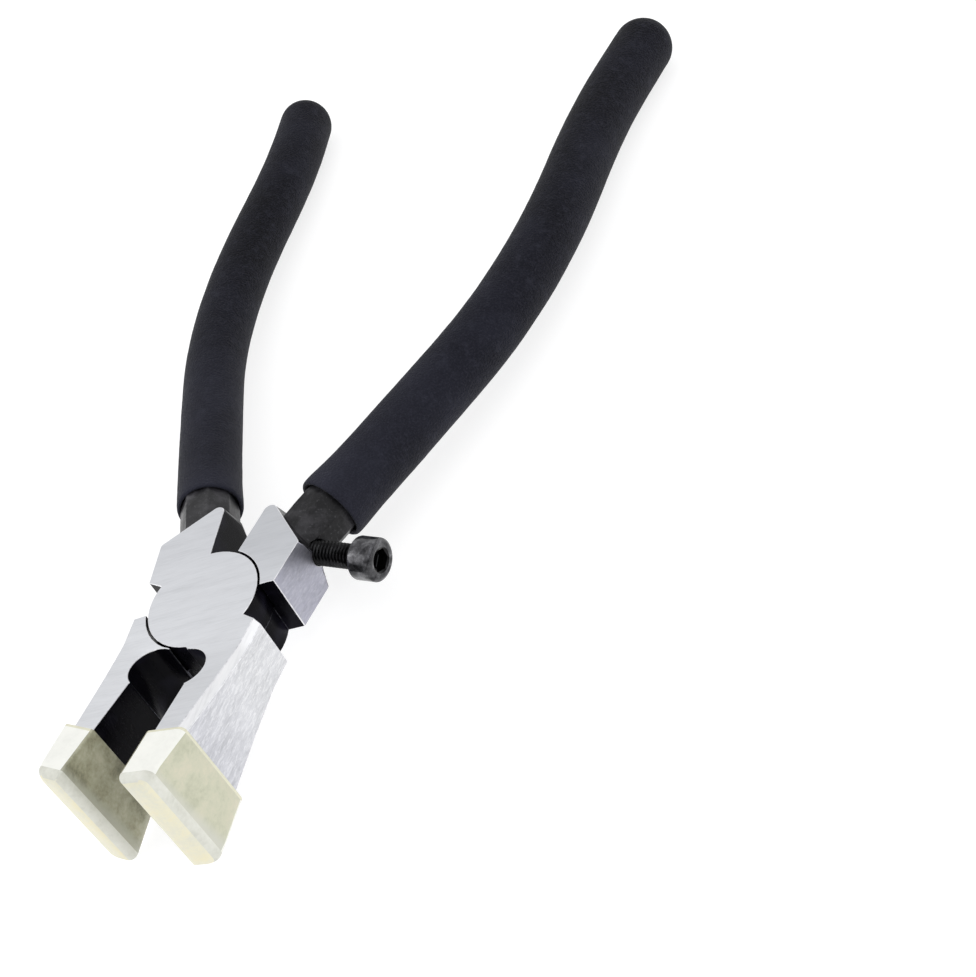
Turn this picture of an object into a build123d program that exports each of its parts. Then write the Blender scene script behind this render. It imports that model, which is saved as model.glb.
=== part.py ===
from build123d import *
import os
from math import cos, sin, radians, sqrt

os.makedirs("parts", exist_ok=True)

# ---------------------------------------------------------------- driving dimensions (mm, degrees)
HALF_OPEN = 9.2          # each lever is turned this far from closed in the rest pose
JAW_WIDTH = 25.4         # height of the steel jaw at its tip, along Z
HEAD_THICK = 13.6        # thickness of the lap joint and of the shoulders
DISC_R = 11.40           # radius of each half disc of the lap joint
DISC_GAP = 0.44          # radial gap between a half disc and the other lever's jaw and shoulder
LAP_GAP = 0.03           # each half disc stops this far short of the middle plane
JAW_END_Y = -44.0        # end face of the steel jaw
JAW_TIP_T = 4.39         # thickness of the jaw at its end
THROAT_C = (0.62, -16.73)
THROAT_R = 4.70
PIN_HEAD_R = 5.95
PIN_HEAD_H = 3.5
PIN_SHANK_R = 4.0
PIN_TOP_Z = 5.0
RUN_FIT = 0.05           # radial running clearance
SEAT_FIT = 0.01          # radial clearance of a fixed seat
SCREW_Y = 18.55          # height of the screw axis above the pivot, in the lever's own frame
SCREW_R = 2.5            # M5
SCREW_LEN = 20.0
SCREW_HEAD_R = 4.2
SCREW_HEAD_H = 5.0
SCREW_HEX = 4.0          # across flats
SCREW_UNDER_X = -22.9    # underside of the head at rest, in the lever's own frame
GRIP_R = 6.65            # sleeve on the plain lever
GRIP_R_SCREW = 6.92      # sleeve on the screw lever, a little fuller and pushed on a little less far
GRIP_END_Y = 167.4       # where the straight part of each sleeve ends
GRIP_END_Y_SCREW = 175.5
GRIP_FRONT_Y = 30.5      # mouth of each sleeve
GRIP_FRONT_Y_SCREW = 29.2
GRIP_LIP = 0.35          # the rim at the mouth stands this far proud
EDGE_BEVEL = 1.2         # ground flat along the outer edges of each jaw
CAP_WALL = 0.80
CAP_END = 1.25
CAP_REAR_Y = -33.2
CAP_FIT = 0.05

HT = HEAD_THICK / 2

# jaw half height along the jaw: (y, half height), 12.70 at the end face
JAW_RISE = [(-11.4, 6.80), (-13.8, 6.98), (-16.5, 7.42), (-21.3, 8.22), (-27.9, 9.52), (-36.0, 11.12), (-46.0, 13.10)]

# centre line of the handle in the lever's own frame
HANDLE_LINE = [(-7.0, 17.8), (-9.7, 29.2), (-11.9, 37.2), (-16.7, 56.8), (-21.1, 77.5), (-22.7, 99.2),
               (-21.6, 119.8), (-19.2, 139.5), (-18.1, 158.0), (-18.4, 175.6)]


def polar(r, deg):
    return (r * cos(radians(deg)), r * sin(radians(deg)))


def height_band(grow=0.0, y_end=JAW_END_Y):
    """Side outline of the jaw, extruded across it."""
    pts = [(y, h + grow) for y, h in JAW_RISE]
    y0, h0 = pts[0]
    slope = (JAW_RISE[-1][1] - JAW_RISE[-2][1]) / (JAW_RISE[-1][0] - JAW_RISE[-2][0])
    ye = y_end - 6.0
    he = JAW_RISE[-1][1] + grow + slope * (ye - JAW_RISE[-1][0])
    up = Spline([(0, y, h) for y, h in pts], tangents=[(0, -1, 0), (0, -1, -slope)])
    dn = Spline([(0, y, -h) for y, h in reversed(pts)], tangents=[(0, 1, -slope), (0, 1, 0)])
    a = Line((0, 20, h0), (0, y0, h0))
    b = Polyline((0, *pts[-1]), (0, ye, he), (0, ye, -he), (0, pts[-1][0], -pts[-1][1]))
    c = Polyline((0, y0, -h0), (0, 20, -h0), (0, 20, h0))
    face = make_face([a, up, b, dn, c])
    return extrude(face, 30, dir=(1, 0, 0), both=True)


# jaw outline from above, in the lever's own frame
BACK = (13.62, -7.45)
TIP_O = (JAW_TIP_T, -43.8)
TIP_I = (0.0, JAW_END_Y)
CUT_I = (2.73, -21.27)


def jaw_block():
    s1 = (2.60, THROAT_C[1] - sqrt(THROAT_R**2 - (2.60 - THROAT_C[0]) ** 2))
    s2 = (0.10, THROAT_C[1] + sqrt(THROAT_R**2 - (0.10 - THROAT_C[0]) ** 2))
    sm = (THROAT_C[0] + THROAT_R, THROAT_C[1])
    ux, uy = TIP_O[0] - BACK[0], TIP_O[1] - BACK[1]
    n = sqrt(ux * ux + uy * uy)
    o1 = (TIP_O[0] - 1.1 * ux / n, TIP_O[1] - 1.1 * uy / n)
    o2 = (TIP_O[0] - 1.0, TIP_O[1] - 0.045)
    outline = [
        Polyline((0.10, -5.0), polar(6.0, -27.3), BACK, o1, o2, TIP_I, CUT_I, s1),
        ThreePointArc(s1, sm, s2),
        Line(s2, (0.10, -5.0)),
    ]
    block = extrude(make_face(outline), 20, both=True) & height_band()
    return bevel_outer(block, EDGE_BEVEL)


def bevel_outer(block, size):
    """Ground flat along the jaw's two long outer edges, top and bottom."""
    ux, uy = TIP_O[0] - BACK[0], TIP_O[1] - BACK[1]
    n = sqrt(ux * ux + uy * uy)
    edges = []
    for e in block.edges():
        c = e @ 0.5
        off = ((c.X - BACK[0]) * uy - (c.Y - BACK[1]) * ux) / n
        if abs(off) < 1.0 and abs(c.Z) > 6.5 and e.length > 9.0:
            edges.append(e)
    cut = chamfer(edges, size)
    under = cut & Pos(0, 0, -30) * Box(200, 200, 60)
    return under + mirror(under, about=Plane.XY)


def rim_blend():
    """Fills the small step where the half disc runs into its own jaw's throat."""
    x0 = -0.6
    y0 = -sqrt(DISC_R**2 - x0**2)
    x1, y1 = THROAT_C[0], THROAT_C[1] + THROAT_R
    e1 = Spline([(x0, y0), (x1, y1)], tangents=[(-y0, x0), (1, 0)])
    e2 = Polyline((x1, y1), (x1, -9.0), (x0, -9.0), (x0, y0))
    return Pos(0, 0, LAP_GAP) * extrude(make_face([e1, e2]), 12) & height_band()


def shoulder_face(back, z):
    apex = (-1.20, 25.1 + back)
    corner = (-13.60, 15.8 + back)
    f = make_face(Polyline((-1.20, 5.0), apex, corner, (-13.45, 6.17), (-5.40, 2.50), (-1.20, 5.0)))
    vs = f.vertices()
    va = min(vs, key=lambda v: (v.X - apex[0]) ** 2 + (v.Y - apex[1]) ** 2)
    f = fillet(va, 1.45)
    vs = f.vertices()
    vc = min(vs, key=lambda v: (v.X - corner[0]) ** 2 + (v.Y - corner[1]) ** 2)
    f = fillet(vc, 1.0)
    return Pos(0, 0, z) * f


def shoulder_block():
    top = loft([shoulder_face(2.2, 0), shoulder_face(0, HT)], ruled=True)
    low = loft([shoulder_face(0, -HT), shoulder_face(2.2, 0)], ruled=True)
    return top + low


def handle_path():
    return Spline([(x, y, 0) for x, y in HANDLE_LINE])


PATH = handle_path()
PATH_LEN = PATH.length


def frame_at(y):
    """Plane across the handle where its centre line reaches height y."""
    lo, hi = 0.0, 1.0
    for _ in range(50):
        mid = (lo + hi) / 2
        if (PATH @ mid).Y < y:
            lo = mid
        else:
            hi = mid
    p, d = PATH @ lo, PATH % lo
    # local x across the handle, local y along +Z
    return Plane(origin=p, x_dir=Vector(d.Y, -d.X, 0), z_dir=Vector(d.X, d.Y, 0) * -1)


def octagon(pl, k, grow=0.0):
    w, h, c = 5.5 * k + grow, 5.7 * k + grow, 2.4 * k + 0.414 * grow
    pts = [(c, h), (w, c), (w, -c), (c, -h), (-c, -h), (-w, -c), (-w, c), (-c, h), (c, h)]
    return pl * make_face(Polyline(*pts))


BAR = [(17.9, 0.96), (24.0, 1.0), (30.5, 1.0), (42.0, 0.84), (62.0, 0.76), (84.0, 0.72), (106.0, 0.70),
       (128.0, 0.68), (148.0, 0.66), (166.0, 0.62)]


def bar(grow=0.0, y_from=None, extra=0.0):
    st = list(BAR)
    if extra:
        st[-1] = (st[-1][0] + extra, st[-1][1])
    return loft([octagon(frame_at(y), k, grow) for y, k in st])


def lever_blank():
    disc = Pos(0, 0, LAP_GAP) * Cylinder(DISC_R, HT - LAP_GAP, align=(Align.CENTER, Align.CENTER, Align.MIN))
    clear = Pos(0, 0, LAP_GAP) * Cylinder(DISC_R + DISC_GAP, 40, align=(Align.CENTER, Align.CENTER, Align.MAX))
    body = jaw_block() + shoulder_block() + bar()
    return (body - clear) + disc + rim_blend()


def along(y, z_sign=1):
    """Plane across the handle at height y, its z axis towards the handle's end."""
    pl = frame_at(y)
    return Plane(origin=pl.origin, x_dir=pl.x_dir, z_dir=pl.z_dir * -1)


def grip_solid(radius, front_y, end_y):
    lip_r = radius + GRIP_LIP
    front = along(front_y)
    t0 = PATH.param_at_point(front.origin)
    t1 = PATH.param_at_point(frame_at(end_y).origin)
    line = PATH.trim(t0, t1)
    body = sweep(frame_at(front_y) * Circle(radius), path=line)
    lip = Cylinder(lip_r, 2.6, align=(Align.CENTER, Align.CENTER, Align.MIN))
    lip = fillet(lip.edges().filter_by(GeomType.CIRCLE).sort_by(Axis.Z)[0], 1.0)
    taper = Pos(0, 0, 2.6) * Cone(lip_r, radius - 0.1, 7.0, align=(Align.CENTER, Align.CENTER, Align.MIN))
    nose = Cylinder(30, 2.6, align=(Align.CENTER, Align.CENTER, Align.MIN))
    tail = PATH % t1
    end = Plane(origin=PATH @ t1, x_dir=Vector(tail.Y, -tail.X, 0), z_dir=tail)
    dome = end * Sphere(radius, arc_size1=0, arc_size2=90, align=(Align.CENTER, Align.CENTER, Align.MIN))
    body = (body - front * nose) + front * (lip + taper) + dome
    mouth = front * (Pos(0, 0, -1.3) * Cylinder(radius - 0.43, 2.6, align=(Align.CENTER, Align.CENTER, Align.MIN)))
    return body - bar(grow=CAP_FIT, extra=0.6) - mouth


def cap_solid():
    # inner straight face of the jaw, as a unit direction and outward normal
    def side(p, q, off):
        dx, dy = q[0] - p[0], q[1] - p[1]
        n = sqrt(dx * dx + dy * dy)
        nx, ny = -dy / n, dx / n
        return (p[0] + nx * off, p[1] + ny * off), (q[0] + nx * off, q[1] + ny * off)

    def x_at(seg, y):
        (x0, y0), (x1, y1) = seg
        return x0 + (x1 - x0) * (y - y0) / (y1 - y0)

    def outline(off, end):
        inner = side(CUT_I, TIP_I, -off)      # towards the other jaw
        outer = side(BACK, TIP_O, off)        # away from the other jaw
        yr, ye = CAP_REAR_Y, JAW_END_Y - end
        return make_face(Polyline((x_at(inner, yr), yr), (x_at(outer, yr), yr), (x_at(outer, ye), ye),
                                  (x_at(inner, ye), ye), (x_at(inner, yr), yr)))

    shell = extrude(outline(CAP_WALL + CAP_FIT, CAP_END), 20, both=True)
    shell = shell & height_band(CAP_WALL + CAP_FIT, JAW_END_Y)
    shell = bevel_outer(shell, EDGE_BEVEL)
    soft = [e for e in shell.edges() if (e @ 0.5).Y < CAP_REAR_Y - 1]
    for r in (0.6, 0.5, 0.4, 0.3):
        try:
            shell = fillet(soft, r)
            print("cap edges rounded", r)
            break
        except Exception:
            continue
    core = extrude(outline(CAP_FIT, CAP_FIT), 20, both=True) & height_band(CAP_FIT, JAW_END_Y)
    core = bevel_outer(core, EDGE_BEVEL)
    core = core + Pos(0, CAP_REAR_Y + 2, 0) * Box(40, 4.0, 60)
    return shell - core


# ---------------------------------------------------------------- placing
def plain(shape):
    """Own frame to the rest pose for the lever with the upper half disc."""
    return Rot(0, 0, HALF_OPEN) * shape


def turned(shape):
    """The same for the lever that is turned over: half a turn about Y, then opened."""
    return Rot(0, 0, -HALF_OPEN) * (Rot(0, 180, 0) * shape)


blank = lever_blank()
print("blank", blank.volume, blank.is_valid, len(blank.solids()))

seat = Cylinder(PIN_SHANK_R + SEAT_FIT, PIN_TOP_Z + 0.05, align=(Align.CENTER, Align.CENTER, Align.MIN))
plain_lever = plain(blank - seat)

# in the turned lever's own frame the pin head is on the +Z side
bore = Cylinder(PIN_SHANK_R + RUN_FIT, HT + 2, align=(Align.CENTER, Align.CENTER, Align.MIN))
sink = Pos(0, 0, HT - PIN_HEAD_H - RUN_FIT) * Cylinder(PIN_HEAD_R + RUN_FIT, 10, align=(Align.CENTER, Align.CENTER, Align.MIN))
tap = Pos(-24, SCREW_Y, 0) * Rot(0, 90, 0) * Cylinder(SCREW_R + RUN_FIT, 30, align=(Align.CENTER, Align.CENTER, Align.MIN))
screw_lever = turned(blank - bore - sink - tap)

pin = Pos(0, 0, -HT) * Cylinder(PIN_HEAD_R, PIN_HEAD_H, align=(Align.CENTER, Align.CENTER, Align.MIN))
pin = pin + Pos(0, 0, -HT) * Cylinder(PIN_SHANK_R, HT + PIN_TOP_Z, align=(Align.CENTER, Align.CENTER, Align.MIN))
pivot_pin = pin

# screw along +X in its own frame, underside of the head at x = 0, tip at x = SCREW_LEN
shank = Rot(0, 90, 0) * Cylinder(SCREW_R, SCREW_LEN, align=(Align.CENTER, Align.CENTER, Align.MIN))
shank = chamfer(shank.edges().filter_by(GeomType.CIRCLE).sort_by(Axis.X)[-1], 0.6)
head = Rot(0, 90, 0) * Cylinder(SCREW_HEAD_R, SCREW_HEAD_H, align=(Align.CENTER, Align.CENTER, Align.MAX))
head = fillet(head.edges().filter_by(GeomType.CIRCLE).sort_by(Axis.X)[0], 0.5)
hexagon = Plane(origin=(-SCREW_HEAD_H, 0, 0), x_dir=(0, 1, 0), z_dir=(1, 0, 0)) * RegularPolygon(SCREW_HEX / 2, 6, major_radius=False)
socket = extrude(hexagon, 2.5)
screw_own = Pos(SCREW_UNDER_X, SCREW_Y, 0) * ((shank + head) - socket)
adjusting_screw = turned(screw_own)

plain_grip = grip_solid(GRIP_R, GRIP_FRONT_Y, GRIP_END_Y)
screw_grip = grip_solid(GRIP_R_SCREW, GRIP_FRONT_Y_SCREW, GRIP_END_Y_SCREW)
cap = cap_solid()
print("cap", cap.volume, cap.is_valid, len(cap.solids()))

nodes = {
    "plain_lever": plain_lever,
    "screw_lever": screw_lever,
    "pivot_pin": pivot_pin,
    "adjusting_screw": adjusting_screw,
    "plain_lever_grip": plain(plain_grip),
    "screw_lever_grip": turned(screw_grip),
    "plain_lever_jaw_cap": plain(cap),
    "screw_lever_jaw_cap": turned(cap),
}
for name, shape in nodes.items():
    solids = shape.solids()
    print(name, len(solids), round(shape.volume, 1), shape.is_valid, shape.bounding_box())
    out = solids[0] if len(solids) == 1 else shape
    export_step(out, "parts/%s.step" % name)
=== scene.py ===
import bpy
import bmesh
from math import cos, pi, radians, sin, sqrt
from mathutils import Matrix, Quaternion, Vector, noise


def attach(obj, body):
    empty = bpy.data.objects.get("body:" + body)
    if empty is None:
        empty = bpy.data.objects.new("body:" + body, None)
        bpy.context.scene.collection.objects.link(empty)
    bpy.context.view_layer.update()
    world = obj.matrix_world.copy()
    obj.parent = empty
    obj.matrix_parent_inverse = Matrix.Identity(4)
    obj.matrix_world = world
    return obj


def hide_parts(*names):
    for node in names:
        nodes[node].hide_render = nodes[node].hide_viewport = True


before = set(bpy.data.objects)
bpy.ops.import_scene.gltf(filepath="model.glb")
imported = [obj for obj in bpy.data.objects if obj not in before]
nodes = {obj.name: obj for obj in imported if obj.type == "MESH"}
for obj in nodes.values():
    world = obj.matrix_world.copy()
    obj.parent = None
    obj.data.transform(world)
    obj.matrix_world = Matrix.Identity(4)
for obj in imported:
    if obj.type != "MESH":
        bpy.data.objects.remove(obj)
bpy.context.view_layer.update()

# sizes and places are in mm in a lever's own frame, and in m where a comment or the shader needs it
MM = 0.001
OPEN_DEG = 9.2                # each lever is turned this far from closed at rest
HALF_OPEN = radians(OPEN_DEG)

# from a lever's own frame (closed, handle towards +Y, jaw towards -Y) to the shared one
PLAIN = Matrix.Rotation(HALF_OPEN, 4, "Z")
TURNED = Matrix.Rotation(-HALF_OPEN, 4, "Z") @ Matrix.Rotation(pi, 4, "Y")


# ------------------------------------------------------------------ node helpers
class Graph:
    """Short way to write a material's node tree."""

    def __init__(self, name):
        self.mat = bpy.data.materials.new(name)
        self.mat.use_nodes = True
        self.nt = self.mat.node_tree
        self.nt.nodes.clear()
        self.out = self.nt.nodes.new("ShaderNodeOutputMaterial")
        self.bsdf = self.nt.nodes.new("ShaderNodeBsdfPrincipled")
        self.nt.links.new(self.bsdf.outputs[0], self.out.inputs[0])
        self.coord = self.nt.nodes.new("ShaderNodeTexCoord").outputs["Object"]

    def node(self, kind, **props):
        n = self.nt.nodes.new(kind)
        for k, v in props.items():
            setattr(n, k, v)
        return n

    def put(self, socket, value):
        if isinstance(value, bpy.types.NodeSocket):
            self.nt.links.new(value, socket)
        else:
            socket.default_value = value

    def mapped(self, scale, rotation=(0, 0, 0)):
        """Object coordinates, turned first and then stretched."""
        source = self.coord
        if any(rotation):
            n = self.node("ShaderNodeMapping")
            self.put(n.inputs["Vector"], source)
            n.inputs["Rotation"].default_value = rotation
            source = n.outputs[0]
        n = self.node("ShaderNodeMapping")
        self.put(n.inputs["Vector"], source)
        n.inputs["Scale"].default_value = scale
        return n.outputs[0]

    def noise(self, vector, scale, detail=3.0, rough=0.55, distortion=0.0):
        n = self.node("ShaderNodeTexNoise")
        self.put(n.inputs["Vector"], vector)
        n.inputs["Scale"].default_value = scale
        n.inputs["Detail"].default_value = detail
        n.inputs["Roughness"].default_value = rough
        n.inputs["Distortion"].default_value = distortion
        return n.outputs["Fac"]

    def voronoi(self, vector, scale):
        n = self.node("ShaderNodeTexVoronoi")
        self.put(n.inputs["Vector"], vector)
        n.inputs["Scale"].default_value = scale
        return n.outputs["Distance"]

    def ramp(self, fac, stops):
        n = self.node("ShaderNodeValToRGB")
        el = n.color_ramp.elements
        while len(el) < len(stops):
            el.new(0.5)
        for e, (p, c) in zip(el, stops):
            e.position = p
            e.color = (*c, 1.0)
        self.put(n.inputs["Fac"], fac)
        return n.outputs["Color"]

    def remap(self, value, a, b, c, d):
        n = self.node("ShaderNodeMapRange")
        self.put(n.inputs["Value"], value)
        for key, v in zip(("From Min", "From Max", "To Min", "To Max"), (a, b, c, d)):
            n.inputs[key].default_value = v
        return n.outputs[0]

    def math(self, op, a, b=0.0):
        n = self.node("ShaderNodeMath", operation=op)
        self.put(n.inputs[0], a)
        self.put(n.inputs[1], b)
        return n.outputs[0]

    def mix(self, fac, a, b, blend="MIX"):
        n = self.node("ShaderNodeMix", data_type="RGBA", blend_type=blend)
        self.put(n.inputs["Factor"], fac)
        for sock, v in ((n.inputs[6], a), (n.inputs[7], b)):
            self.put(sock, v if isinstance(v, bpy.types.NodeSocket) else (*v, 1.0))
        return n.outputs[2]

    def axis(self, which, source=None):
        n = self.node("ShaderNodeSeparateXYZ")
        self.put(n.inputs[0], source or self.coord)
        return n.outputs["XYZ".index(which)]

    def bump(self, height, strength, distance):
        n = self.node("ShaderNodeBump")
        n.inputs["Strength"].default_value = strength
        n.inputs["Distance"].default_value = distance
        self.put(n.inputs["Height"], height)
        return n.outputs[0]

    def set(self, **values):
        names = {"color": "Base Color", "rough": "Roughness", "metal": "Metallic", "normal": "Normal",
                 "spec": "Specular IOR Level", "sheen": "Sheen Weight", "sheen_rough": "Sheen Roughness",
                 "alpha": "Alpha", "glow": "Emission Color", "glow_strength": "Emission Strength"}
        for k, v in values.items():
            s = self.bsdf.inputs[names[k]]
            if not isinstance(v, bpy.types.NodeSocket) and k in ("color", "glow"):
                v = (*v, 1.0)
            self.put(s, v)
        return self.mat


def shaded(colour, factor):
    """A colour made lighter or darker, never past white."""
    return tuple(min(1.0, c * factor) for c in colour)


def ground_steel(name, turn, tint, across, along, fleck, strokes=1.0, rough=(0.46, 0.36), painted_shade=None):
    """Bright steel with grinding marks; turn (degrees about Z) would bring them along X.

    across and along are how fine the marks are each way. fleck is how strong the bright flecks are, and
    strokes the marks. The last argument is (y0, y1, colour), a painted shade: the finish takes on that
    colour's tint from y0 to y1 (m).
    """
    turn = (0, 0, radians(turn))
    g = Graph(name)
    fine = g.noise(g.mapped((along, across, across), turn), 1.0, 4.0, 0.65)
    broad = g.noise(g.mapped((along * 0.25, across * 0.20, across * 0.20), turn), 1.0, 3.0, 0.6, 0.2)
    cloud = g.noise(g.coord, 55.0, 2.0, 0.5)
    both = g.math("ADD", g.math("MULTIPLY", fine, 0.45), g.math("MULTIPLY", broad, 0.55))
    dark, light = shaded(tint, 1 - 0.16 * strokes), shaded(tint, 1 + 0.10 * strokes)
    col = g.ramp(both, [(0.32, dark), (0.50, tint), (0.70, light)])
    col = g.mix(g.remap(cloud, 0.3, 0.7, 0.0, 0.20), col, shaded(tint, 0.90))
    mark = g.noise(g.mapped((along * 1.2, across * 0.95, across * 0.95), turn), 1.0, 5.0, 0.75, 0.6)
    col = g.mix(g.remap(mark, 0.48, 0.62, 0.0, fleck), col, (0.97, 0.97, 0.975))
    both = g.math("ADD", both, g.math("MULTIPLY", mark, 1.2))
    # painted shade: from y0 to y1 the finish darkens towards the given colour
    if painted_shade:
        y0, y1, to = painted_shade
        col = g.mix(g.remap(g.axis("Y"), y0, y1, 0.0, 1.0), col, to, "MULTIPLY")
    return g.set(color=col, metal=1.0, rough=g.remap(both, 0.3, 0.8, *rough),
                 normal=g.bump(both, 0.30, 0.00004))


def black_oxide(name):
    """Smooth black finish of the throat, the gripping sides and the notches, with patches of painted sheen.
    """
    g = Graph(name)
    grain = g.noise(g.coord, 2600.0, 3.0, 0.6)
    scuff = g.noise(g.mapped((420.0, 420.0, 90.0)), 1.0, 4.0, 0.7)
    sheen = g.noise(g.coord, 95.0, 2.0, 0.5)
    col = g.ramp(scuff, [(0.35, (0.0016, 0.0014, 0.0026)), (0.62, (0.0034, 0.0032, 0.0052)),
                         (0.80, (0.010, 0.010, 0.015))])
    # painted sheen: noise patches lifted to a bluish grey
    col = g.mix(g.remap(sheen, 0.52, 0.68, 0.0, 0.8), col, (0.016, 0.015, 0.026))
    return g.set(color=col, rough=g.remap(scuff, 0.3, 0.8, 0.22, 0.38), spec=0.05,
                 normal=g.bump(grain, 0.25, 0.00002))


def forged_dark(name, shade, spec):
    """Scaly dark forging skin. shade scales its colour and spec is its gloss."""
    g = Graph(name)
    grain = g.noise(g.coord, 1500.0, 5.0, 0.75)
    pits = g.voronoi(g.coord, 1300.0)
    patch = g.noise(g.coord, 170.0, 5.0, 0.68)
    skin = ((0.34, (0.0055, 0.0052, 0.0062)), (0.50, (0.015, 0.0145, 0.0165)), (0.68, (0.058, 0.056, 0.062)))
    col = g.ramp(patch, [(p, shaded(c, shade)) for p, c in skin])
    col = g.mix(g.remap(grain, 0.58, 0.72, 0.0, 0.6), col, (0.13, 0.13, 0.14))
    h = g.math("ADD", grain, g.math("MULTIPLY", pits, 0.5))
    return g.set(color=col, rough=g.remap(patch, 0.35, 0.65, 0.48, 0.28), spec=spec,
                 normal=g.bump(h, 0.45, 0.00008))


def edge_wear_and_highlight(name, low, high):
    """Metal along an edge, from low to high: rubbed bright on the ground steel, and a painted highlight line
    on the black.
    """
    g = Graph(name)
    nick = g.noise(g.coord, 900.0, 4.0, 0.7)
    return g.set(color=g.ramp(nick, [(0.35, low), (0.60, high)]), metal=1.0, rough=0.32)


PALE_FROM, PALE_TO = 0.022, 0.075       # Y of the foam's paler stretch, painted light, m


def foam(name):
    """Fine closed-cell foam, blue-black, with a broken-up grain, and painted light that makes it a little
    paler near the mouth.
    """
    g = Graph(name)
    pores = g.voronoi(g.coord, 2100.0)
    small = g.noise(g.coord, 2600.0, 5.0, 0.75)
    wear = g.noise(g.coord, 420.0, 4.0, 0.7)
    patch = g.noise(g.coord, 42.0, 3.0, 0.55)
    body = g.ramp(patch, [(0.36, (0.0022, 0.0022, 0.0040)), (0.55, (0.0062, 0.0064, 0.0115)),
                          (0.74, (0.0135, 0.0140, 0.0230))])
    col = g.mix(g.remap(small, 0.50, 0.66, 0.0, 0.75), body, (0.030, 0.031, 0.044))
    col = g.mix(g.remap(wear, 0.52, 0.72, 0.0, 0.45), col, (0.032, 0.033, 0.047))
    # painted light: the foam turns a paler blue from PALE_TO towards the mouth
    mouth = g.remap(g.axis("Y"), PALE_FROM, PALE_TO, 0.62, 0.0)
    near = g.math("MULTIPLY", mouth, g.remap(patch, 0.35, 0.60, 0.6, 1.0))
    col = g.mix(near, col, (0.036, 0.037, 0.054))
    h = g.math("ADD", g.math("MULTIPLY", pores, 0.8), small)
    return g.set(color=col, rough=0.62, spec=0.07, sheen=0.04, sheen_rough=0.5,
                 normal=g.bump(h, 0.80, 0.00025))


BAND_START, BAND_FULL = -0.0400, -0.0417       # along the cap, m


def vinyl(name, tint, alpha, low, high, patch=260.0, turn=0.0, band=None):
    """Milky soft vinyl, a little see-through, mottled from low through tint to high.

    band is the colour near a cap's closed end, and turn (radians about Z) brings Y along the cap.
    """
    g = Graph(name)
    mottle = g.noise(g.coord, patch, 4.0, 0.6, 0.3)
    fine = g.noise(g.coord, 1500.0, 3.0, 0.6)
    both = g.math("ADD", g.math("MULTIPLY", mottle, 0.72), g.math("MULTIPLY", fine, 0.28))
    col = g.ramp(both, [(0.34, low), (0.50, tint), (0.68, high)])
    if band:
        own = g.mapped((1, 1, 1), (0, 0, turn))
        wave = g.noise(g.mapped((60, 60, 60)), 1.0, 2.0, 0.5)
        # the band's edge is wavy and leans a little with height
        lean = g.math("MULTIPLY", g.axis("Z", own), 0.035)
        level = g.math("ADD", g.math("ADD", g.axis("Y", own), lean), g.math("MULTIPLY", wave, 0.0022))
        col = g.mix(g.remap(level, BAND_START, BAND_FULL, 0.0, 0.85), col, band)
    return g.set(color=col, rough=0.36, spec=0.40, alpha=alpha, normal=g.bump(fine, 0.10, 0.00003))


def even_vinyl(name, tint, alpha, mottled):
    """Vinyl whose mottles are at most the share mottled away from its tint."""
    return vinyl(name, tint, alpha, shaded(tint, 1 - mottled), shaded(tint, 1 + 0.6 * mottled))


def screw_black(name, shade):
    """Blackened screw steel; shade scales how bright its worn places are, and a low shade gives a darker copy
    for painted shade.
    """
    g = Graph(name)
    grain = g.noise(g.coord, 1500.0, 4.0, 0.65)
    patch = g.noise(g.coord, 420.0, 4.0, 0.7)
    worn = ((0.34, (0.020, 0.020, 0.022)), (0.52, (0.085, 0.085, 0.090)), (0.70, (0.24, 0.24, 0.25)))
    col = g.ramp(patch, [(p, shaded(c, shade)) for p, c in worn])
    return g.set(color=col, metal=0.85, rough=g.remap(grain, 0.3, 0.7, 0.12, 0.24),
                 normal=g.bump(grain, 0.25, 0.00003))


MARKS = -17                   # brings the grinding marks on the flat faces along X, degrees
JAW_LEAN = 14                 # the jaw's outer side leans this far from the lever's own Y, degrees

# painted light and shade on one steel: the screw lever's flat faces are a lighter copy than the plain
# lever's, and both fade darker towards the handles
STEEL_TOP_P = ground_steel("ground_steel_flat_plain", MARKS, (0.80, 0.81, 0.835), 3400.0, 300.0, 0.08,
                           strokes=0.60, painted_shade=(-0.012, 0.012, (0.92, 0.92, 0.925)))
STEEL_TOP_S = ground_steel("ground_steel_flat_screw", MARKS, (0.84, 0.85, 0.875), 3400.0, 300.0, 0.08,
                           strokes=0.60, painted_shade=(-0.012, 0.012, (0.76, 0.765, 0.775)))
# painted shade: the outer sides are darker, bluer copies of the same steel, and the plain lever's also grows
# darker and bluer towards the jaw's tip
STEEL_SIDE_P = ground_steel("ground_steel_side_plain", -(90 + OPEN_DEG - JAW_LEAN), (0.665, 0.67, 0.69),
                            2300.0, 520.0, 0.52, strokes=1.4, painted_shade=(-0.014, -0.036, (0.80, 0.80, 0.84)))
STEEL_SIDE_S = ground_steel("ground_steel_side_screw", -(90 - OPEN_DEG + JAW_LEAN), (0.43, 0.43, 0.50),
                            2600.0, 300.0, 0.16, strokes=1.4, rough=(0.55, 0.44))
STEEL_FLAT = ground_steel("ground_steel_edge_flat", -90, (0.92, 0.92, 0.93), 2600.0, 300.0, 0.3)
STEEL_PIN = ground_steel("ground_steel_pin", 25, (0.80, 0.81, 0.83), 4200.0, 160.0, 0.10)
BLACK = black_oxide("black_oxide_steel")
FORGED_P = forged_dark("forged_steel_plain", 1.0, 0.42)
# painted shade: the screw lever's forged skin is a darker copy of the same skin
FORGED_S = forged_dark("forged_steel_screw", 0.75, 0.20)
EDGE = edge_wear_and_highlight("worn_edge_steel", (0.66, 0.66, 0.68), (0.92, 0.92, 0.94))
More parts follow.
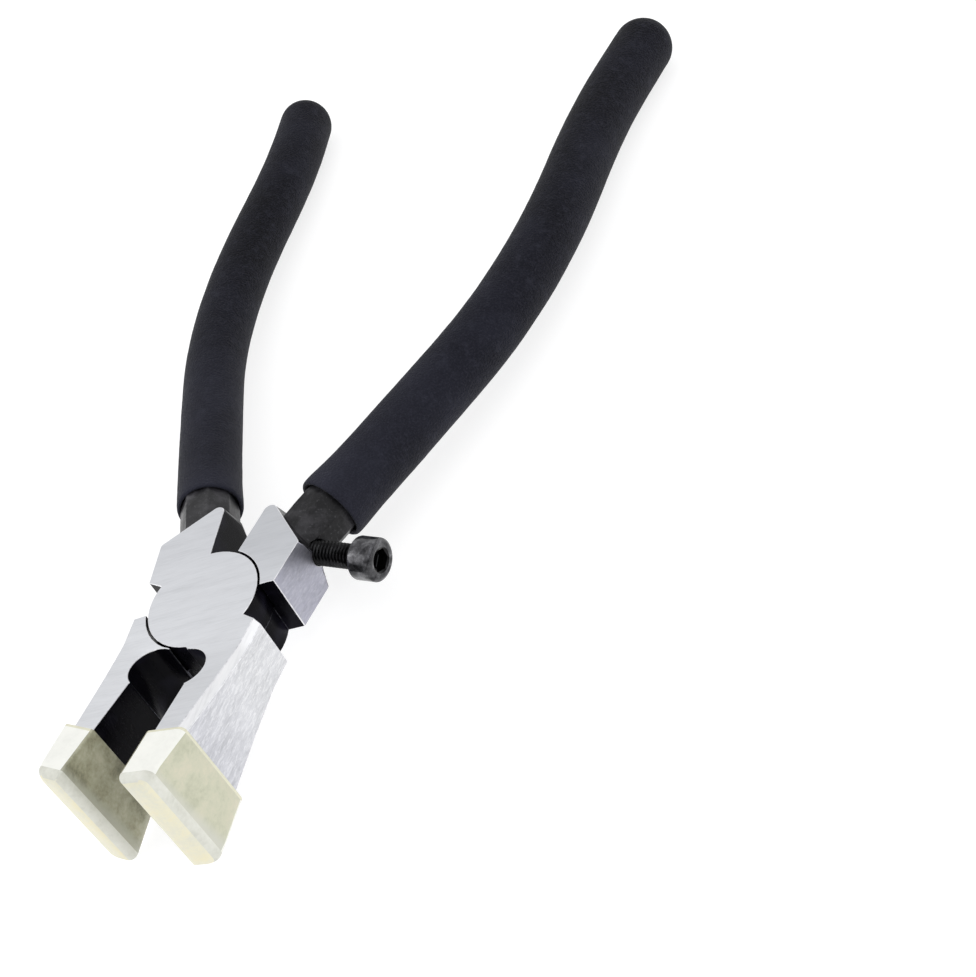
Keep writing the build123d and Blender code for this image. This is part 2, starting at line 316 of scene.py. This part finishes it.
# painted highlight: a lighter line along the edges of the black parts
DARK_EDGE = edge_wear_and_highlight("black_edge_painted_highlight", (0.010, 0.010, 0.012), (0.085, 0.085, 0.10))
FOAM = foam("grip_foam")
VINYL_TOP = even_vinyl("cap_vinyl_top", (0.97, 0.97, 0.91), 0.93, 0.05)
VINYL_END = vinyl("cap_vinyl_end", (0.90, 0.86, 0.66), 0.95, (0.82, 0.81, 0.68), (0.94, 0.86, 0.58), 150.0)
# painted shade: the cap's rounded nose is a greyer copy of the vinyl
VINYL_ROUND_SHADED = vinyl("cap_vinyl_round_painted_shade", (0.80, 0.80, 0.72), 0.90, (0.68, 0.68, 0.60), (0.88, 0.88, 0.81),
                    220.0)
VINYL_RIM = even_vinyl("cap_vinyl_rim", (0.84, 0.82, 0.64), 0.86, 0.10)
SCREW = screw_black("screw_black_oxide", 1.0)
# painted shade: a darker copy of the screw steel for the hex socket, the thread and the tip
SCREW_SHADED = screw_black("screw_socket_and_thread_painted_shade", 0.13)


def cap_vinyls(name, turn):
    """The finishes of one cap, by the name of its face. turn (radians about Z) brings Y along the cap."""
    outer = vinyl("cap_vinyl_outer_" + name, (0.74, 0.74, 0.57), 0.76, (0.60, 0.61, 0.45), (0.85, 0.80, 0.63),
                  190.0, turn, (0.78, 0.78, 0.69))
    inner = vinyl("cap_vinyl_inner_" + name, (0.50, 0.49, 0.34), 0.64, (0.25, 0.24, 0.16), (0.72, 0.70, 0.53),
                  230.0, turn, (0.66, 0.66, 0.55))
    return {"top": VINYL_TOP, "outer": outer, "inner": inner, "end": VINYL_END, "round": VINYL_ROUND_SHADED,
            "rim": VINYL_RIM}


# ------------------------------------------------------------------ pieces and meshes
def put_in(name, me, body, cad_node, to_shared=None):
    """Makes the piece that stands for one CAD node and rides on its body."""
    ob = bpy.data.objects.new(name, me)
    bpy.context.scene.collection.objects.link(ob)
    if to_shared is not None:
        me.transform(to_shared)
    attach(ob, body)
    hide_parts(cad_node)
    return ob


def shade_even(ob, weight, keep_sharp=False):
    """Lets the large faces set the shading of the small ones beside them."""
    mod = ob.modifiers.new("even_shading", "WEIGHTED_NORMAL")
    mod.keep_sharp = keep_sharp
    mod.weight = weight


def smooth_under(bm, angle):
    """Smooth faces, with a crisp line at each edge that turns by angle (degrees) or more."""
    for f in bm.faces:
        f.smooth = True
    for e in bm.edges:
        e.smooth = len(e.link_faces) == 2 and e.calc_face_angle(0.0) < radians(angle)


def ring_mesh(name, rings, mats, pick=None, sharp=180):
    """Skins a list of rings (mm) with the same number of points, and closes both ends with a fan.

    pick(face) gives a face's place in mats, and edges that turn by sharp (degrees) or more stay crisp.
    """
    verts, faces = [], []
    n = len(rings[0])
    for r in rings:
        verts += r
    for i in range(len(rings) - 1):
        for j in range(n):
            k = (j + 1) % n
            faces.append((i * n + j, i * n + k, (i + 1) * n + k, (i + 1) * n + j))
    for first, flip in ((0, True), ((len(rings) - 1) * n, False)):
        mid = sum((Vector(v) for v in verts[first:first + n]), Vector()) / n
        verts.append(tuple(mid))
        m = len(verts) - 1
        for j in range(n):
            a, b = first + j, first + (j + 1) % n
            faces.append((b, a, m) if flip else (a, b, m))
    me = bpy.data.meshes.new(name)
    me.from_pydata([tuple(c * MM for c in v) for v in verts], [], faces)
    for m in mats:
        me.materials.append(m)
    bm = bmesh.new()
    bm.from_mesh(me)
    bmesh.ops.recalc_face_normals(bm, faces=bm.faces)
    bm.faces.index_update()
    if pick:
        for f in bm.faces:
            f.material_index = pick(f)
    smooth_under(bm, sharp)
    bm.to_mesh(me)
    bm.free()
    return me


# ------------------------------------------------------------------ levers
STEM_Y = 29                   # the head ends and the forged stem begins, mm
SHOULDER_BACK_Y = 24.2
SHOULDER_FRONT_Y = 15
JAW_Y = -7                    # the jaw begins
JAW_END_Y = -43.0
BLEND_X, BLEND_Y, BLEND_R = 0.1, -11.8, 1.5     # the blend beside the half disc is too fine for a bevel
GROUND_BEVEL, FORGED_BEVEL, BLACK_BEVEL = 0.00013, 0.00022, 0.00010     # widths, m
BRIGHT = ("ground", "side", "flat")


def lever_part(p, n):
    """Which finish a face of a lever has. p (mm) and n are in the lever's own frame."""
    x, y, z = p
    outer_side = n.x < -0.97 and x < -13.3
    inner_side = n.x > 0.97 and x > -1.5
    behind = y > SHOULDER_BACK_Y and abs(z) < 6.4
    beside = y > SHOULDER_FRONT_Y and abs(z) < 5.75 and not outer_side and not inner_side
    if y > STEM_Y or behind or beside:
        slope_back = abs(n.z) < 0.75 and n.y > 0.3 and y < 26 and abs(z) > 5.8
        return "ground" if slope_back else "forged"
    if abs(n.z) > 0.80 and abs(z) > 6.5:
        return "ground"
    if y < JAW_Y and n.x > 0.90 and x > 3.0:
        return "side"                       # outer side of the jaw
    if y < JAW_Y and n.x > 0.5 and abs(n.z) > 0.3 and x > 3.0:
        return "flat"                       # ground flat along its edge
    if n.x < -0.97 and x < -13.0:
        return "side"                       # outer side of the shoulder
    if n.y < -0.9 and y < JAW_END_Y:
        return "side"                       # end of the jaw
    return "black"


def soften(bm, width, angle, material, wanted):
    """Rounds the edges that turn by more than angle (degrees) and for which wanted(edge) holds."""
    edges = [e for e in bm.edges
             if len(e.link_faces) == 2 and e.calc_face_angle(0.0) > radians(angle) and wanted(e)]
    bmesh.ops.bevel(bm, geom=edges, offset=width, offset_type="OFFSET", segments=2, profile=0.5,
                    affect="EDGES", clamp_overlap=False, material=material)
    bm.normal_update()


def make_lever(name, node, body, to_shared, mats):
    """The CAD lever with rounded edges and a finish for each face."""
    me = nodes[node].data.copy()
    me.name = name
    me.materials.clear()
    for m in mats.values():
        me.materials.append(m)
    slot = {key: i for i, key in enumerate(mats)}
    bright = {slot[key] for key in BRIGHT}
    bm = bmesh.new()
    bm.from_mesh(me)
    bmesh.ops.remove_doubles(bm, verts=bm.verts, dist=2e-6)
    bmesh.ops.dissolve_limit(bm, angle_limit=radians(0.6), verts=bm.verts, edges=bm.edges)
    bm.normal_update()
    to_own = to_shared.inverted()
    turn = to_own.to_3x3()
    for f in bm.faces:
        c = to_own @ f.calc_center_median()
        n = turn @ f.normal
        f.material_index = slot[lever_part(tuple(v / MM for v in c), n)]

    def on_ground(e):
        mid = to_own @ ((e.verts[0].co + e.verts[1].co) / 2) / MM
        clear = sqrt((mid.x - BLEND_X) ** 2 + (mid.y - BLEND_Y) ** 2) >= BLEND_R
        return clear and any(f.material_index in bright for f in e.link_faces)

    def on_forged(e):
        return all(f.material_index == slot["forged"] for f in e.link_faces)

    def on_black(e):
        others = bright | {slot["edge"], slot["forged"]}
        return all(f.material_index not in others for f in e.link_faces)

    soften(bm, GROUND_BEVEL, 28, slot["edge"], on_ground)
    soften(bm, FORGED_BEVEL, 18, slot["forged"], on_forged)
    soften(bm, BLACK_BEVEL, 40, slot["dark_edge"], on_black)
    smooth_under(bm, 24)
    bm.to_mesh(me)
    bm.free()
    shade_even(put_in(name, me, body, node), 100, keep_sharp=True)


SHARED = {"flat": STEEL_FLAT, "black": BLACK, "edge": EDGE, "dark_edge": DARK_EDGE}
make_lever("plain_lever_body", "plain_lever", "plain_half", PLAIN,
           {"ground": STEEL_TOP_P, "side": STEEL_SIDE_P, "forged": FORGED_P, **SHARED})
make_lever("screw_lever_body", "screw_lever", "screw_half", TURNED,
           {"ground": STEEL_TOP_S, "side": STEEL_SIDE_S, "forged": FORGED_S, **SHARED})

# ------------------------------------------------------------------ foam grips
# centre line of a handle in the lever's own frame, mm: one point on the stem, then the grip's stretch
HANDLE_LINE = [(-7.0, 17.8), (-9.7, 29.2), (-11.9, 37.2), (-16.7, 56.8), (-21.1, 77.5), (-22.7, 99.2),
               (-21.6, 119.8), (-19.2, 139.5), (-18.1, 158.0), (-18.4, 175.6)]
LINE_STEPS = 600
GRIP_SEGMENTS = 72
SLEEVE_START, SLEEVE_STEP = 10.5, 0.9         # the plain sleeve's first ring from the mouth, and its spacing
DOME_STEPS = 15


def natural_spline(knots, values):
    """Natural cubic through (knots, values); returns a function."""
    n = len(knots) - 1
    h = [knots[i + 1] - knots[i] for i in range(n)]
    sub, diag, sup, rhs = [0.0] * (n + 1), [1.0] * (n + 1), [0.0] * (n + 1), [0.0] * (n + 1)
    for i in range(1, n):
        sub[i], diag[i], sup[i] = h[i - 1], 2 * (h[i - 1] + h[i]), h[i]
        rhs[i] = 6 * ((values[i + 1] - values[i]) / h[i] - (values[i] - values[i - 1]) / h[i - 1])
    for i in range(1, n + 1):
        w = sub[i] / diag[i - 1]
        diag[i] -= w * sup[i - 1]
        rhs[i] -= w * rhs[i - 1]
    m = [0.0] * (n + 1)
    for i in range(n, -1, -1):
        m[i] = (rhs[i] - (sup[i] * m[i + 1] if i < n else 0.0)) / diag[i]

    def at(t):
        i = max(0, min(n - 1, next((k for k in range(n) if t <= knots[k + 1]), n - 1)))
        a, b = knots[i + 1] - t, t - knots[i]
        bend = (m[i] * a**3 + m[i + 1] * b**3) / (6 * h[i])
        before = (values[i] / h[i] - m[i] * h[i] / 6) * a
        after = (values[i + 1] / h[i] - m[i + 1] * h[i] / 6) * b
        return bend + before + after
    return at


def distance(p, q):
    return sqrt((q[0] - p[0]) ** 2 + (q[1] - p[1]) ** 2)


def handle_points():
    """The centre line as closely spaced (point, distance), from its second point to its end."""
    t = [0.0]
    for p, q in zip(HANDLE_LINE, HANDLE_LINE[1:]):
        t.append(t[-1] + distance(p, q))
    at_x = natural_spline(t, [x for x, y in HANDLE_LINE])
    at_y = natural_spline(t, [y for x, y in HANDLE_LINE])
    out, s, before = [], 0.0, None
    for i in range(LINE_STEPS + 1):
        u = t[1] + (t[-1] - t[1]) * i / LINE_STEPS
        p = (at_x(u), at_y(u))
        if before:
            s += distance(before, p)
        out.append((p, s))
        before = p
    return out


LINE = handle_points()


def line_at(s):
    """Point and direction of the centre line at distance s along it."""
    s = max(LINE[0][1], min(LINE[-1][1], s))
    i = max(1, next(k for k, (p, d) in enumerate(LINE) if d >= s))
    (p0, d0), (p1, d1) = LINE[i - 1], LINE[i]
    f = (s - d0) / (d1 - d0)
    dx, dy = p1[0] - p0[0], p1[1] - p0[1]
    n = sqrt(dx ** 2 + dy ** 2)
    return (p0[0] + f * dx, p0[1] + f * dy), (dx / n, dy / n)


def grip_profile(radius, rise, length):
    """(distance from the mouth, radius) of a grip's rings, from inside its mouth to its round end."""
    lip = radius + rise
    mouth = [(1.9, 3.0), (1.7, 4.6), (1.55, radius - 0.95), (1.1, radius - 0.80), (0.55, radius - 0.74),
             (0.22, radius - 0.60)]
    roll = [(0.05, lip - 0.71), (0.0, lip - 0.47), (0.06, lip - 0.27), (0.22, lip - 0.12), (0.5, lip - 0.03)]
    proud = [(0.9, lip), (1.6, lip + 0.01), (2.3, lip)]
    fall = [(d, radius + rise * share) for d, share in
            ((3.0, 0.91), (3.8, 0.74), (5.0, 0.54), (6.4, 0.29), (8.0, 0.09), (9.6, 0.0))]
    n = int((length - SLEEVE_START) / SLEEVE_STEP)
    sleeve = [(SLEEVE_START + (length - SLEEVE_START) * i / n, radius) for i in range(n + 1)]
    return mouth + roll + proud + fall + sleeve


def make_grip(name, node, body, radius, rise, front_y, end_y, to_shared, seed):
    """A foam sleeve along the handle, with a rolled mouth, a rim proud by rise, and a round end."""
    start = next(d for p, d in LINE if p[1] >= front_y)
    length = next(d for p, d in LINE if p[1] >= end_y) - start

    def ring(s, r, ahead=0.0):
        """Ring of radius r at distance s, moved on by ahead, with the foam's slight unevenness."""
        (px, py), (tx, ty) = line_at(s + start)
        px, py = px + tx * ahead, py + ty * ahead
        pts = []
        for j in range(GRIP_SEGMENTS):
            a = 2 * pi * j / GRIP_SEGMENTS
            c, q = cos(a), sin(a)
            v = Vector((px + ty * r * c, py - tx * r * c, r * q))
            if r > radius - 0.5 or ahead:
                small = 0.030 * noise.noise(v * 0.9 + Vector((seed, 0, 0)))
                broad = 0.045 * noise.noise(v * 0.16 + Vector((0, seed, 0)))
                v += Vector((ty * c, -tx * c, q)) * (small + broad) * min(1.0, r / radius)
            pts.append(tuple(v))
        return pts

    rings = [ring(s, r) for s, r in grip_profile(radius, rise, length)]
    for i in range(1, DOME_STEPS):
        a = pi / 2 * i / DOME_STEPS
        rings.append(ring(length, radius * cos(a), radius * sin(a)))
    rings.append(ring(length, 0.25, radius))
    ob = put_in(name, ring_mesh(name, rings, [FOAM]), body, node, to_shared)


make_grip("plain_grip_foam", "plain_lever_grip", "plain_half", radius=6.65, rise=0.12, front_y=30.5,
          end_y=167.4, to_shared=PLAIN, seed=3.1)
make_grip("screw_grip_foam", "screw_lever_grip", "screw_half", radius=6.98, rise=0.32, front_y=29.2,
          end_y=175.5, to_shared=TURNED, seed=11.7)

# ------------------------------------------------------------------ soft caps on the jaw tips
CAP_REAR, CAP_FRONT = -33.2, -45.25
CAP_WALL, CAP_WALL_END, CAP_ROUND = 0.80, 1.20, 2.20
CAP_CORNER = 1.25             # radius of the outer corners, mm
CAP_NOSE_CORNER = 1.50        # and where the closed end starts to round
CAP_OFF = 0.85                # the cap's outside from the jaw's faces
JAW_OUT = ((13.62, -7.45), (4.39, -43.8))      # the jaw's outer side, from its root to its tip
JAW_IN = ((2.73, -21.27), (0.0, -44.0))        # and its gripping side
JAW_HALF, JAW_HALF_Y, JAW_GROWTH = 11.12, -36.0, 0.198     # half its height there, and growth per mm
CORNER_POINTS = 7
NOSE_STEPS = 8


def offset_x(seg, off, y):
    """X where the straight line seg, moved sideways by off, crosses y."""
    (x0, y0), (x1, y1) = seg
    dx, dy = x1 - x0, y1 - y0
    n = sqrt(dx * dx + dy * dy)
    x0, y0 = x0 - dy / n * off, y0 + dx / n * off
    return x0 + dx * (y - y0) / dy


def jaw_height(y):
    """Half the jaw's height at y, under the cap; it grows towards the tip."""
    return JAW_HALF + (JAW_HALF_Y - y) * JAW_GROWTH


def cap_ring(y, inset, corner):
    """Rounded oblong across the jaw, inset from the cap's outside; corner is its outer corners' radius."""
    x0, x1 = offset_x(JAW_IN, -CAP_OFF, y) + inset, offset_x(JAW_OUT, CAP_OFF, y) - inset
    h = jaw_height(y) + CAP_OFF - inset
    near = max(0.12, 0.50 - 0.5 * inset)
    far = max(0.15, corner)
    pts = []
    for cx, cz, r, a0 in ((x1 - far, h - far, far, 0), (x0 + near, h - near, near, 90),
                          (x0 + near, near - h, near, 180), (x1 - far, far - h, far, 270)):
        for k in range(CORNER_POINTS):
            a = radians(a0 + 90 / (CORNER_POINTS - 1) * k)
            pts.append((cx + r * cos(a), y, cz + r * sin(a)))
    return pts


def cap_steps():
    """(y, inset, corner radius, part) of a cap's rings, from its inner end over the rim to its nose."""
    inner_end, round_start = CAP_FRONT + CAP_WALL_END, CAP_FRONT + CAP_ROUND
    steps = [(inner_end, CAP_WALL + 0.35, 0.3, "inside"), (inner_end, CAP_WALL + 0.10, 0.45, "inside"),
             (inner_end + 0.1, CAP_WALL, 0.5, "inside"), (CAP_REAR - 0.12, CAP_WALL, 0.5, "inside"),
             (CAP_REAR, CAP_WALL - 0.12, 0.6, "rim"), (CAP_REAR, 0.16, 1.15, "rim"),
             (CAP_REAR - 0.05, 0.05, 1.22, "rim"), (CAP_REAR - 0.18, 0.0, CAP_CORNER, "rim"),
             (CAP_REAR - 0.6, 0.0, CAP_CORNER, "outside"), (round_start + 1.6, 0.0, CAP_CORNER, "outside"),
             (round_start, 0.0, CAP_NOSE_CORNER, "round")]
    for k in range(1, NOSE_STEPS + 1):
        a = radians(90 * k / NOSE_STEPS)
        steps.append((CAP_FRONT + CAP_ROUND * (1 - sin(a)), CAP_ROUND * (1 - cos(a)),
                      CAP_NOSE_CORNER - 0.3 * (1 - cos(a)), "round"))
    return steps


def make_cap(name, node, body, to_shared, mats):
    """A closed-ended sleeve over the jaw's tip, with a finish for each of its faces."""
    steps = cap_steps()
    rings = [cap_ring(y, inset, corner) for y, inset, corner, part in steps]
    slot = {key: i for i, key in enumerate(mats)}
    n = len(rings[0])

    def pick(f):
        if f.index >= (len(rings) - 1) * n:                     # the two fans that close the mesh
            return slot["end"]
        part, side = steps[f.index // n][3], f.index % n
        corner, step = divmod(side, CORNER_POINTS)
        inner = CORNER_POINTS <= side < 3 * CORNER_POINTS - 1   # towards the other jaw
        if part == "rim":
            return slot["inner" if inner else "rim"]
        if part == "round":
            return slot["end" if -f.normal.y > 0.80 else "round"]
        if step < CORNER_POINTS - 1:                            # on a corner, not on a long side
            return slot["inner" if inner else "top"]
        return slot[("top", "inner", "top", "outer")[corner]]

    me = ring_mesh(name, rings, mats.values(), pick)
    shade_even(put_in(name, me, body, node, to_shared), 60)


make_cap("plain_jaw_cap", "plain_lever_jaw_cap", "plain_half", PLAIN, cap_vinyls("plain", -HALF_OPEN))
make_cap("screw_jaw_cap", "screw_lever_jaw_cap", "screw_half", TURNED, cap_vinyls("screw", HALF_OPEN))

# ------------------------------------------------------------------ adjusting screw
SCREW_Y = 18.55
HEAD_FACE, HEAD_UNDER, TIP = -27.9, -22.9, -2.9
HEAD_R, MAJOR_R, MINOR_R, PITCH = 4.2, 2.47, 2.02, 0.80
THREAD_STEP = 0.08            # spacing of the thread's rings
ROOT_SHARE, FLANK_SHARE = 0.10, 0.76
NECK = 0.5                    # plain neck under the head, then as long a run-in
NECK_R = MINOR_R + 0.12
RUN_OUT, TIP_R = 0.6, 1.75    # length and end radius of the run-out at the tip
HEX_FLATS = 4.0
TURN_SEGMENTS = 48
# (depth from the head's face, across flats) of the hex socket, then (depth, radius) of the head
SOCKET_STEPS = ((2.45, 0.6), (2.4, HEX_FLATS - 0.3), (2.3, HEX_FLATS - 0.02), (0.35, HEX_FLATS),
                (0.28, HEX_FLATS))
HEAD_STEPS = ((0.04, 2.50), (0.0, 2.58), (0.0, 3.30), (0.02, 3.42), (0.42, 4.00), (0.52, 4.10), (0.66, 4.18),
              (0.85, HEAD_R), (2.0, HEAD_R), (3.6, HEAD_R), (4.70, HEAD_R), (4.88, 4.15), (4.97, 4.05),
              (5.0, 3.9), (5.0, 2.6))


def screw_ring(x, radius_at):
    """Ring across the screw's axis; radius_at(angle) gives its radius."""
    angles = [2 * pi * j / TURN_SEGMENTS for j in range(TURN_SEGMENTS)]
    return [(x, SCREW_Y + radius_at(a) * cos(a), radius_at(a) * sin(a)) for a in angles]


def hex_ring(x, flats):
    return screw_ring(x, lambda a: flats / 2 / cos((a + pi / 6) % (pi / 3) - pi / 6))


def round_ring(x, r):
    return screw_ring(x, lambda a: r)


def thread_ring(x):
    """Ring through the thread, which thins towards the head and the tip."""
    end = max(0.0, min(1.0, (TIP - x) / RUN_OUT))
    neck = max(0.0, min(1.0, (x - HEAD_UNDER - NECK) / NECK))

    def radius_at(a):
        u = ((x - HEAD_UNDER) / PITCH - a / (2 * pi)) % 1.0
        crest = max(0.0, min(1.0, (abs(u - 0.5) * 2 - ROOT_SHARE) / FLANK_SHARE))
        r = MINOR_R + (MAJOR_R - MINOR_R) * crest
        r = r * neck + NECK_R * (1 - neck)
        return min(r, TIP_R + (MAJOR_R - TIP_R) * end)

    return screw_ring(x, radius_at)


def make_screw():
    """Socket-headed screw with a chamfered head and a real thread."""
    rings = [hex_ring(HEAD_FACE + depth, flats) for depth, flats in SOCKET_STEPS]
    rings += [round_ring(HEAD_FACE + depth, r) for depth, r in HEAD_STEPS]
    x = HEAD_UNDER
    while x < TIP:
        rings.append(thread_ring(x))
        x += THREAD_STEP
    rings += [round_ring(TIP, TIP_R - 0.05), round_ring(TIP, 0.4)]
    head = range(len(SOCKET_STEPS), len(SOCKET_STEPS) + len(HEAD_STEPS) - 1)

    def pick(f):
        # the head gets the screw finish; the socket, the thread and the tip get its darker copy, painted
        # shade
        return 0 if f.index // TURN_SEGMENTS in head else 1

    me = ring_mesh("adjusting_screw_turned", rings, [SCREW, SCREW_SHADED], pick, sharp=32)
    put_in("adjusting_screw_turned", me, "screw", "adjusting_screw", TURNED)


make_screw()

# ------------------------------------------------------------------ pivot pin
PIN_HEAD_R, SHANK_R = 5.95, 4.0
PIN_FACE, PIN_SEAT, PIN_END = -6.8, -3.3, 5.0       # Z of the head's face, its seat and the shank's end
PIN_SEGMENTS = 96


def make_pin():
    """Flush head with a small chamfer, and the shank."""
    steps = [(PIN_FACE, 0.3), (PIN_FACE, PIN_HEAD_R - 0.17), (PIN_FACE + 0.08, PIN_HEAD_R - 0.05),
             (PIN_FACE + 0.2, PIN_HEAD_R), (PIN_SEAT - 0.1, PIN_HEAD_R), (PIN_SEAT, PIN_HEAD_R - 0.10),
             (PIN_SEAT, SHANK_R), (PIN_END - 0.4, SHANK_R), (PIN_END, SHANK_R - 0.4), (PIN_END, 0.3)]
    angles = [2 * pi * j / PIN_SEGMENTS for j in range(PIN_SEGMENTS)]
    rings = [[(r * cos(a), r * sin(a), z) for a in angles] for z, r in steps]
    me = ring_mesh("pivot_pin_turned", rings, [STEEL_PIN], sharp=24)
    put_in("pivot_pin_turned", me, "plain_half", "pivot_pin")


make_pin()

# ------------------------------------------------------------------ floor, light, camera
FLOOR_TILT = 0.0318           # radians; the jaw caps stand lower than the grips' ends
FLOOR_Z = -0.01232
FLOOR_HALF = 30.0
FLOOR_GLOW = 0.76


def make_floor():
    """Wide pale floor under the tool."""
    me = bpy.data.meshes.new("floor")
    s = FLOOR_HALF
    me.from_pydata([(-s, -s, 0), (s, -s, 0), (s, s, 0), (-s, s, 0)], [], [(0, 1, 2, 3)])
    ob = bpy.data.objects.new("floor", me)
    bpy.context.scene.collection.objects.link(ob)
    ob.rotation_euler = (FLOOR_TILT, 0, 0)
    ob.location = (0, 0, FLOOR_Z)
    g = Graph("pale_floor")
    cloud = g.noise(g.coord, 6.0, 2.0, 0.5)
    pale = g.ramp(cloud, [(0.3, (0.37, 0.37, 0.37)), (0.7, (0.40, 0.40, 0.40))])
    me.materials.append(g.set(color=pale, rough=0.75, spec=0.2, glow=(1, 1, 1), glow_strength=FLOOR_GLOW))


def area(name, where, target, size, power, color=(1, 1, 1)):
    """A rectangular lamp at where that points at target."""
    li = bpy.data.lights.new(name, "AREA")
    li.shape = "RECTANGLE"
    li.size, li.size_y = size
    li.energy = power
    li.color = color
    ob = bpy.data.objects.new(name, li)
    bpy.context.scene.collection.objects.link(ob)
    ob.location = where
    ob.rotation_euler = (Vector(target) - Vector(where)).to_track_quat("-Z", "Y").to_euler()


def make_world():
    """Surroundings that are bright overhead and darker towards the horizon."""
    world = bpy.data.worlds.new("studio")
    bpy.context.scene.world = world
    world.use_nodes = True
    tree = world.node_tree
    split = tree.nodes.new("ShaderNodeSeparateXYZ")
    tree.links.new(tree.nodes.new("ShaderNodeTexCoord").outputs["Generated"], split.inputs[0])
    sky = tree.nodes.new("ShaderNodeValToRGB")
    stops = [(0.0, 0.30), (0.12, 0.40), (0.34, 0.80), (0.60, 0.89), (0.80, 0.87), (1.0, 0.84)]
    while len(sky.color_ramp.elements) < len(stops):
        sky.color_ramp.elements.new(0.5)
    for el, (height, v) in zip(sky.color_ramp.elements, stops):
        el.position = height
        el.color = (v * 0.985, v * 0.99, v, 1)
    tree.links.new(split.outputs["Z"], sky.inputs[0])
    tree.links.new(sky.outputs[0], tree.nodes["Background"].inputs[0])
    tree.nodes["Background"].inputs[1].default_value = 1.0


def make_camera():
    """The camera, in m, with its lens in mm."""
    lens = bpy.data.cameras.new("camera")
    lens.sensor_width = 36.0
    lens.lens = 62.90
    lens.shift_x = 0.0699
    lens.shift_y = -0.0079
    lens.clip_start = 0.01
    lens.clip_end = 20.0
    cam = bpy.data.objects.new("camera", lens)
    bpy.context.scene.collection.objects.link(cam)
    cam.rotation_mode = "QUATERNION"
    cam.location = (0.18898, -0.16408, 0.20681)
    cam.rotation_quaternion = Quaternion((0.901262, 0.354085, 0.240336, 0.067740))
    bpy.context.scene.camera = cam


make_floor()
area("top_softbox", (0.05, -0.05, 1.0), (0, 0.05, 0), (1.0, 1.0), 1.2)
area("left_softbox", (-0.70, -0.25, 0.45), (0, 0.02, 0), (0.6, 0.6), 1.2)
area("right_softbox", (0.75, 0.05, 0.35), (0, 0.03, 0), (0.6, 0.5), 0.8, (0.96, 0.97, 1.0))
make_world()
make_camera()
bpy.context.scene.view_settings.view_transform = "Standard"
